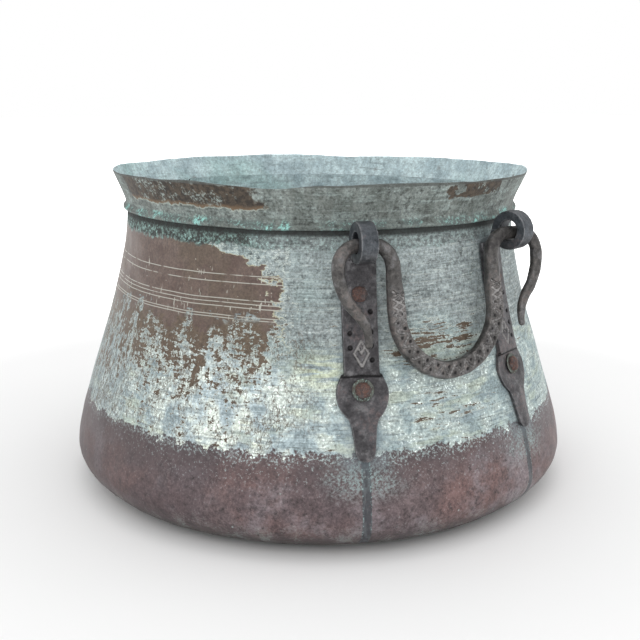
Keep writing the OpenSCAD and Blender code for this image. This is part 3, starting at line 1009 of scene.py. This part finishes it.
class STILL_OT_bottom_pan(bpy.types.Operator):
    """Sink the bottom pan with its rounded, raised edge"""

    bl_idname = "still.bottom_pan"
    bl_label = "Bottom Pan"
    bl_options = {"REGISTER", "UNDO"}

    def execute(self, context):
        s = sizes()
        flat = [(r, 0.0) for r in (0.0, 0.05, 0.10, 0.15, 0.20, 0.24, 0.27)]
        corner = [corner_point(seam_turn() * i / 8) for i in range(9)]
        pan = draw("bottom_pan_hammered", [at_azimuth(r, z, 0) for r, z in flat + corner])
        revolve(pan, 2 * math.pi, 120)
        face_out(pan, lambda face: -face.normal.z)
        dress(pan, pan_finish(), inside_finish())
        round_off(pan)
        swell(pan, weigh(pan, "rising_edge", lambda v: v.co.z / s.seam_height))
        thicken(pan, s.pan)
        own(pan, "pot", "base_copper", "bottom_pan")
        return {"FINISHED"}


class STILL_OT_collar(bpy.types.Operator):
    """Spin the flared collar with its rolled bead and knocked rim"""

    bl_idname = "still.collar"
    bl_label = "Collar"
    bl_options = {"REGISTER", "UNDO"}

    def execute(self, context):
        s = sizes()
        foot = s.neck_height + 0.003
        top = s.neck_height + s.neck_length
        rise = s.rim_height - top
        low = foot + 0.008
        flare = [
            (
                blend_between(s.neck_radius, s.rim_radius - s.collar, (i / 9) ** 1.12),
                blend_between(low, s.rim_height, i / 9),
            )
            for i in range(10)
        ]
        inner = [(s.neck_radius, foot + 0.0015), (s.neck_radius, foot + 0.0045)] + flare
        lip = [(s.rim_radius - s.collar / 2, s.rim_height + 0.0007)]
        outer = [(r + s.collar, z) for r, z in reversed(flare)]
        outer += [(s.neck_radius + s.collar + 0.0004, foot + 0.005)]
        bead = [
            (s.neck_radius + s.bead * (1 + math.cos(a)), foot + s.bead * math.sin(a))
            for a in (math.radians(d) for d in range(50, -175, -28))
        ]
        outline = [at_azimuth(r, z, 0) for r, z in inner + lip + outer + bead]
        collar = draw("collar_flared", outline, closed=True)
        revolve(collar, 2 * math.pi, 180)
        dress(collar, collar_finish(), inside_finish())
        for face in collar.data.polygons:
            face.material_index = int(looks_away(face) < 0)
        round_off(collar)
        least = 0.12
        share = weigh(
            collar, "towards_rim", lambda v: least + (1 - least) * max(0.0, (v.co.z - top) / rise)
        )
        for name, direction, size, depth in (
            ("rim_sway_x", "X", 0.11, 0.0060), ("rim_sway_y", "Y", 0.12, 0.0060),
            ("rim_wave", "Z", 0.13, 0.0048), ("rim_nick", "Z", 0.030, 0.0012),
        ):
            hammer(collar, name, size, depth, group=share, direction=direction, detail=2)
        for azimuth, reach, move in (
            (-44, 0.075, (0.001, 0.001, -0.0045)),
            (-64, 0.045, (0, 0, 0.0020)),
            (-5, 0.10, (0, 0, 0.0015)),
            (58, 0.12, (0, 0, 0.0040)),
            (140, 0.09, (-0.002, 0.001, -0.0030)),
            (-150, 0.10, (0, 0.001, -0.0015)),
        ):
            place = at_azimuth(s.rim_radius - s.collar / 2, s.rim_height, math.radians(azimuth))
            dent(collar, [place], reach, move)
        smooth(collar, 55)
        own(collar, "pot", "collar_copper", "collar")
        return {"FINISHED"}


def strap_face(height, across, azimuth, lift=0.0):
    """A point on a strap's face, at a height and a distance across from its middle."""
    radius = wall_radius(height) + sizes().strap_thickness + lift
    return at_azimuth(radius, height, azimuth + across / radius)


def line_of(points, step=0.0005):
    """Points along a broken line, step apart."""
    found = []
    for here, there in zip(points, points[1:]):
        count = max(1, int(math.dist(here, there) / step))
        found += [tuple(blend_between(a, b, i / count) for a, b in zip(here, there)) for i in range(count)]
    return found + [points[-1]]


class STILL_OT_straps(bpy.types.Operator):
    """Forge the four straps: stepped plate, dished lobe, punched dots and a chiselled diamond"""

    bl_idname = "still.straps"
    bl_label = "Straps"
    bl_options = {"REGISTER", "UNDO"}

    def execute(self, context):
        wall_radius.cache_clear()
        finish = iron_finish(
            "strap_iron_scale", colours().iron, (0.26, 0.262, 0.268), 0.22, highlight_from=0.335
        )
        for side in ("left", "right"):
            front = self.forge("front_" + side)
            for end in ("front_", "back_"):
                node = "strap_" + end + side
                strap = front if end == "front_" else half_round(front, node + "_forged")
                hammer(strap, "strap_scale", 0.016, 0.0009)
                dress(strap, finish)
                smooth(strap)
                own(strap, "pot", "strap_iron", node)
        return {"FINISHED"}

    def forge(self, site):
        s = sizes()
        azimuth = site_azimuth(site)
        source = frame["nodes"]["strap_" + site]
        strap = bpy.data.objects.new("strap_" + site + "_forged", source.data.copy())
        bpy.context.scene.collection.objects.link(strap)
        strap.data.name = strap.name
        edit(strap, "SELECT")
        bpy.ops.mesh.remove_doubles(threshold=1e-6)
        done()
        apply(strap, "REMESH", "one_skin", mode="VOXEL", voxel_size=0.0010)
        apply(strap, "SMOOTH", "soften", factor=0.5, iterations=5)

        hinge_height = hinge("front").z
        shoulder = hinge_height - s.shoulder_drop
        lower = hinge_height - s.lower_rivet_drop
        out = at_azimuth(1, 0, azimuth)
        skin = s.strap_thickness * 0.4
        plate_top, plate_step = 0.342, 0.0018
        dish_radius, dish_depth, dish_edge = 0.0135, 0.0013, 0.010

        def on_face(v, low, high):
            if not low < v.co.z < high:
                return False
            return math.hypot(v.co.x, v.co.y) > wall_radius(round(v.co.z, 3)) + skin

        edit(strap)
        select(strap, lambda v: on_face(v, shoulder, plate_top))
        bpy.ops.transform.translate(value=out * plate_step)
        done()
        rivet = strap_face(lower, 0, azimuth)
        edit(strap)
        select(
            strap,
            lambda v: on_face(v, lower - dish_radius, lower + dish_radius)
            and (v.co - rivet).length < dish_radius,
        )
        push(out * -dish_depth, dish_edge)
        done()
        crown = [strap_face(s.strap_tip + 0.010 + 0.004 * i, 0, azimuth) for i in range(9)]
        dent(strap, crown, 0.012, out * 0.0012)
        dots = [(0.284, 1), (0.262, 1), (0.247, 1), (0.231, 1), (0.261, -1), (0.245, -1)]
        from_middle = 0.0125
        pits = [strap_face(z, from_middle * side, azimuth, plate_step) for z, side in dots]
        dent(strap, pits, 0.0036, out * -0.0028)
        diamond = [(0.252, 0.0), (0.2385, 0.0085), (0.2235, 0.0), (0.2385, -0.0085), (0.252, 0.0)]
        cross = [(0.2455, -0.004), (0.2385, 0.0), (0.2455, 0.004)]
        marks = [
            strap_face(z, across, azimuth, plate_step)
            for line in (diamond, cross) for z, across in line_of(line)
        ]
        dent(strap, marks, 0.0020, out * -0.0016)
        mark(strap, "pits", pits, 0.0040)
        mark(strap, "cuts", marks, 0.0024)
        # Painted shadow: a dark line just under the plate's step, kept with the punched dots so that the
        # finish blackens it.
        step_shadow_line = [strap_face(shoulder - 0.0006, across / 1000, azimuth) for across in range(-25, 26)]
        mark(strap, "pits", step_shadow_line, 0.0026)
        return strap


def lean_of_handle():
    """How far the hanging grip leans out from upright, to rest against the wall."""
    s = sizes()
    joint = hinge("front")
    reach = s.grip_drop + s.grip_face / 2
    rest = wall_radius(joint.z - reach) + s.grip_gap + s.grip_thickness / 2
    return math.asin((rest + joint.y) / reach)


def arc(middle, radius, start, end, step):
    """Points of an arc, by angles in degrees."""
    count = max(2, int(abs(math.radians(end - start)) * radius / step))
    turns = [math.radians(blend_between(start, end, i / count)) for i in range(count + 1)]
    return [(middle[0] + radius * math.cos(a), middle[1] + radius * math.sin(a)) for a in turns]


class STILL_OT_handles(bpy.types.Operator):
    """Forge the two swinging handles: chiselled U grip, hooked arms and curling tails"""

    bl_idname = "still.handles"
    bl_label = "Handles"
    bl_options = {"REGISTER", "UNDO"}

    def execute(self, context):
        wall_radius.cache_clear()
        finish = iron_finish("handle_iron_scale", (0.056, 0.053, 0.051), (0.255, 0.238, 0.228), 0.16)
        front = self.forge("handle_front_forged")
        back = half_round(front, "handle_back_forged")
        for handle, side in ((front, "front"), (back, "back")):
            hammer(handle, "handle_hammering", 0.013, 0.0013, level=0.6)
            dress(handle, finish)
            smooth(handle, 40)
            own(handle, side + "_handle", "handle_iron", "handle_" + side)
        return {"FINISHED"}

    def half_path(self):
        """Middle line of the right half, from the grip's middle to the tail's tip, with the bar's
        half width at each point: x, height from the hinge, half width."""
        s = sizes()
        step = 0.002
        eye_x = s.eye_radius * math.sin(s.strap_angle)
        straight = 0.010
        over = eye_x - straight - s.grip_half
        deep = s.grip_drop - s.grip_half
        out_x = eye_x + straight
        tail, sweep, kick = 0.026, 0.070, 0.045
        sweep_middle = (out_x + tail - sweep, -tail)
        turn = math.radians(40)
        end = (sweep_middle[0] + sweep * math.cos(turn), -tail - sweep * math.sin(turn))
        run = (end[0] - 0.008 * math.sin(turn), end[1] - 0.008 * math.cos(turn))
        kick_middle = (run[0] + kick * math.cos(turn), run[1] - kick * math.sin(turn))
        lines = [
            (arc((0, -deep), s.grip_half, -90, 0, step), s.grip_face / 2, s.grip_face / 2),
            (line_of([(s.grip_half, -deep), (s.grip_half, -over)], step), s.grip_face / 2, s.arm / 2),
            (arc((eye_x - straight, -over), over, 180, 90, step), s.arm / 2, s.hook / 2),
            (line_of([(eye_x - straight, 0), (out_x, 0)], step), s.hook / 2, s.hook / 2),
            (arc((out_x, -tail), tail, 90, 0, step), s.hook / 2, 0.0077),
            (arc(sweep_middle, sweep, 0, -40, step), 0.0077, 0.0069),
            (line_of([end, run], step), 0.0069, 0.0066),
            (arc(kick_middle, kick, 140, 188, step), 0.0066, 0.0042),
        ]
        path = []
        for points, first, last in lines:
            for i, (x, y) in enumerate(points):
                if not path or math.dist((x, y), path[-1][:2]) > step * 0.4:
                    share = i / (len(points) - 1)
                    path.append((x, y, blend_between(first, last, ease(share))))
        tip = path[-1]
        ahead = Vector((tip[0] - path[-2][0], tip[1] - path[-2][1])).normalized()
        for i in range(1, 6):
            turn = math.radians(18 * i)
            forward = ahead * tip[2] * math.sin(turn)
            path.append((tip[0] + forward.x, tip[1] + forward.y, max(0.0004, tip[2] * math.cos(turn))))
        return path

    def place(self, x, y, out=0.0):
        """From the handle's own plane to the pot: out is the distance in front of the plane."""
        joint, lean = hinge("front"), lean_of_handle()
        return Vector((
            x,
            joint.y - out * math.cos(lean) + y * math.sin(lean),
            joint.z + out * math.sin(lean) + y * math.cos(lean),
        ))

    def forge(self, name):
        s = sizes()
        half = self.half_path()
        whole = [(-x, y, r) for x, y, r in reversed(half[1:])] + half
        handle = draw(name, [self.place(x, y) for x, y, _ in whole])
        done()
        take(handle)
        bpy.ops.object.convert(target="CURVE")
        handle = bpy.context.object
        handle.data.bevel_depth = 1.0
        handle.data.bevel_resolution = 12
        handle.data.use_fill_caps = True
        points = handle.data.splines[0].points
        if points[0].co.x > 0:
            whole.reverse()
        for point, (_, _, radius) in zip(points, whole):
            point.radius = radius
        bpy.ops.object.convert(target="MESH")
        handle = bpy.context.object
        mend(handle)

        joint, lean = hinge("front"), lean_of_handle()
        deep = s.grip_drop - s.grip_half
        round_above, flat_fade = 0.022, 0.040
        for vertex in handle.data.vertices:
            away = vertex.co - joint
            out = -away.y * math.cos(lean) + away.z * math.sin(lean)
            down = -(away.y * math.sin(lean) + away.z * math.cos(lean))
            inside_grip = abs(vertex.co.x) < s.grip_half + s.grip_face * 0.6
            if not inside_grip or down < round_above:
                continue
            share = min(1.0, max(0.0, (deep - down) / flat_fade))
            limit = blend_between(s.grip_thickness / 2, s.arm / 2 + 0.001, ease(share))
            extra = min(limit, abs(out)) * math.copysign(1, out) - out
            vertex.co += Vector((0, -math.cos(lean), math.sin(lean))) * extra
        round_off(handle)
        self.chisel(handle)
        return handle

    def along(self, run, across):
        """A point of the grip's face: run along the middle line from the grip's middle."""
        s = sizes()
        deep = s.grip_drop - s.grip_half
        quarter = s.grip_half * math.pi / 2
        if abs(run) < quarter:
            turn = run / s.grip_half
            radius = s.grip_half + across
            return radius * math.sin(turn), -deep - radius * math.cos(turn)
        return math.copysign(s.grip_half + across, run), -deep + abs(run) - quarter

    def chisel(self, handle):
        """Cuts a zigzag between two rows of dots along the grip, and a lattice on the lower arms."""
        s = sizes()
        quarter = s.grip_half * math.pi / 2
        face = s.grip_thickness / 2
        beat, reach = 0.0088, 0.0075
        count = int((quarter + 0.030) / beat)
        zig = [(i * beat, reach if i % 2 else -reach) for i in range(-count, count + 1)]
        arms = [(i * beat, -reach if i % 2 else reach) for i in range(int(quarter / beat), count + 1)]
        cuts = line_of(zig) + line_of(arms) + line_of([(-run, across) for run, across in arms])
        drive = Vector((0, math.cos(lean_of_handle()), -math.sin(lean_of_handle())))
        centres = [self.place(*self.along(run, across), face) for run, across in cuts]
        dent(handle, centres, 0.0019, drive * 0.0014)
        dots = [(i * beat, (-0.0040 if i % 2 else 0.0040)) for i in range(-count + 3, count - 2)]
        pits = [self.place(*self.along(run, across), face) for run, across in dots]
        dent(handle, pits, 0.0024, drive * 0.0014)
        mark(handle, "cuts", centres, 0.0021)
        mark(handle, "pits", pits, 0.0026)


def on_wall(site, height):
    """Places a fitting on the wall at a site: its own Z axis points straight out of the wall."""
    radius = wall_radius(height)
    return (
        Matrix.Rotation(site_azimuth(site), 4, "Z")
        @ Matrix.Translation((0, -radius, height))
        @ Matrix.Rotation(math.pi / 2 - wall_lean(height), 4, "X")
    )


def turned_blank(name, outline, steps=36, closed=False):
    """A blank turned about the upright axis from an outline of radii and heights."""
    blank = draw(name, [Vector((r, 0, z)) for r, z in outline], closed=closed)
    revolve(blank, 2 * math.pi, steps)
    return blank


def placed_copy(blank, name, matrix):
    """A copy of a blank, at its place."""
    copy = copy_of(blank, name)
    copy.matrix_world = matrix
    settle(copy)
    return copy


class STILL_OT_rivets(bpy.types.Operator):
    """Set the eight rivets with their hammered heads and tails"""

    bl_idname = "still.rivets"
    bl_label = "Rivets"
    bl_options = {"REGISTER", "UNDO"}

    def execute(self, context):
        wall_radius.cache_clear()
        s = sizes()
        finish = rivet_finish()
        for row, drop, seat, height in (
            ("upper", s.upper_rivet_drop, s.strap_thickness + 0.0014, 0.0060),
            ("lower", s.lower_rivet_drop, s.strap_thickness + 0.00075, 0.0070),
        ):
            head, edge, shank = 0.0096, 0.0012, 0.0045
            tail, tail_low, tail_height = 0.0070, -s.wall - 0.0020, 0.0034
            turns = [math.radians(a) for a in range(0, 90, 15)]
            dome = [(head * math.cos(a), seat + edge + (height - edge) * math.sin(a)) for a in turns]
            knob = [(tail * math.cos(a), tail_low - tail_height * math.sin(a)) for a in turns]
            outline = [(0, seat + height), *reversed(dome), (head * 0.97, seat), (shank, seat)]
            outline += [(shank, tail_low), *knob, (0, tail_low - tail_height)]
            blank = turned_blank("rivet_blank", outline)
            for site in SITES:
                node = row + "_rivet_" + site
                rivet = placed_copy(blank, node + "_hammered", on_wall(site, hinge("front").z - drop))
                round_off(rivet)
                hammer(rivet, "rivet_blows", 0.0060, 0.0022, level=0.62)
                dress(rivet, finish)
                smooth(rivet, 60)
                own(rivet, "pot", "rivet_iron", node)
            bpy.data.objects.remove(blank)
        return {"FINISHED"}


class STILL_OT_washers(bpy.types.Operator):
    """Lay the copper washers under the lower heads and the roves inside the pot"""

    bl_idname = "still.washers"
    bl_label = "Washers and Roves"
    bl_options = {"REGISTER", "UNDO"}

    def execute(self, context):
        wall_radius.cache_clear()
        s = sizes()
        washer = rove_finish("washer_copper_crust", (0.115, 0.135, 0.118), (0.035, 0.032, 0.030))
        rove = rove_finish("rove_copper_crust", (0.26, 0.34, 0.32), (0.13, 0.11, 0.09))
        hole, thick, edge = 0.0046, 0.0016, 0.0004
        bedded, inside = s.strap_thickness - 0.0004, -s.wall - 0.0019
        rows = (
            ("washer_", s.lower_rivet_drop, bedded, 0.0132, "washer_copper", washer),
            ("upper_rove_", s.upper_rivet_drop, inside, 0.0120, "rove_copper", rove),
            ("lower_rove_", s.lower_rivet_drop, inside, 0.0120, "rove_copper", rove),
        )
        for row, drop, low, radius, slot, finish in rows:
            middle, high = (hole + radius) / 2, low + thick
            ring = [
                (hole, low), (middle, low), (radius - edge, low), (radius, low + edge),
                (radius, high - edge), (radius - edge * 2, high), (middle, high), (hole, high),
            ]
            blank = turned_blank("ring_blank", ring, closed=True)
            for site in SITES:
                node = row + site
                ring_piece = placed_copy(blank, node + "_ring", on_wall(site, hinge("front").z - drop))
                round_off(ring_piece)
                hammer(ring_piece, "ring_wear", 0.0055, 0.0010, level=0.6)
                dress(ring_piece, finish)
                smooth(ring_piece, 60)
                own(ring_piece, "pot", slot, node)
            bpy.data.objects.remove(blank)
        return {"FINISHED"}


# ---------------------------------------------------------------- add-on


MAKERS = (
    STILL_OT_stage,
    STILL_OT_wall_sheets,
    STILL_OT_bottom_pan,
    STILL_OT_collar,
    STILL_OT_straps,
    STILL_OT_handles,
    STILL_OT_rivets,
    STILL_OT_washers,
)


class STILL_PT_panel(bpy.types.Panel):
    """The boiler's sizes, colours and makers"""

    bl_label = "Still"
    bl_idname = "STILL_PT_panel"
    bl_space_type = "VIEW_3D"
    bl_region_type = "UI"
    bl_category = "Still"

    def draw(self, context):
        layout = self.layout
        for maker in MAKERS:
            layout.operator(maker.bl_idname)
        for group in (context.scene.still_sizes, context.scene.still_colours):
            column = layout.column(align=True)
            for name in group.__annotations__:
                column.prop(group, name)


CLASSES = (StillSizes, StillColours, *MAKERS, STILL_PT_panel)


def register():
    for cls in CLASSES:
        bpy.utils.register_class(cls)
    bpy.types.Scene.still_sizes = bpy.props.PointerProperty(type=StillSizes)
    bpy.types.Scene.still_colours = bpy.props.PointerProperty(type=StillColours)


def unregister():
    del bpy.types.Scene.still_colours
    del bpy.types.Scene.still_sizes
    for cls in reversed(CLASSES):
        bpy.utils.unregister_class(cls)


def main():
    register()
    for maker in MAKERS:
        group, name = maker.bl_idname.split(".")
        getattr(getattr(bpy.ops, group), name)()
    bpy.context.view_layer.update()


if __name__ == "__main__":
    main()
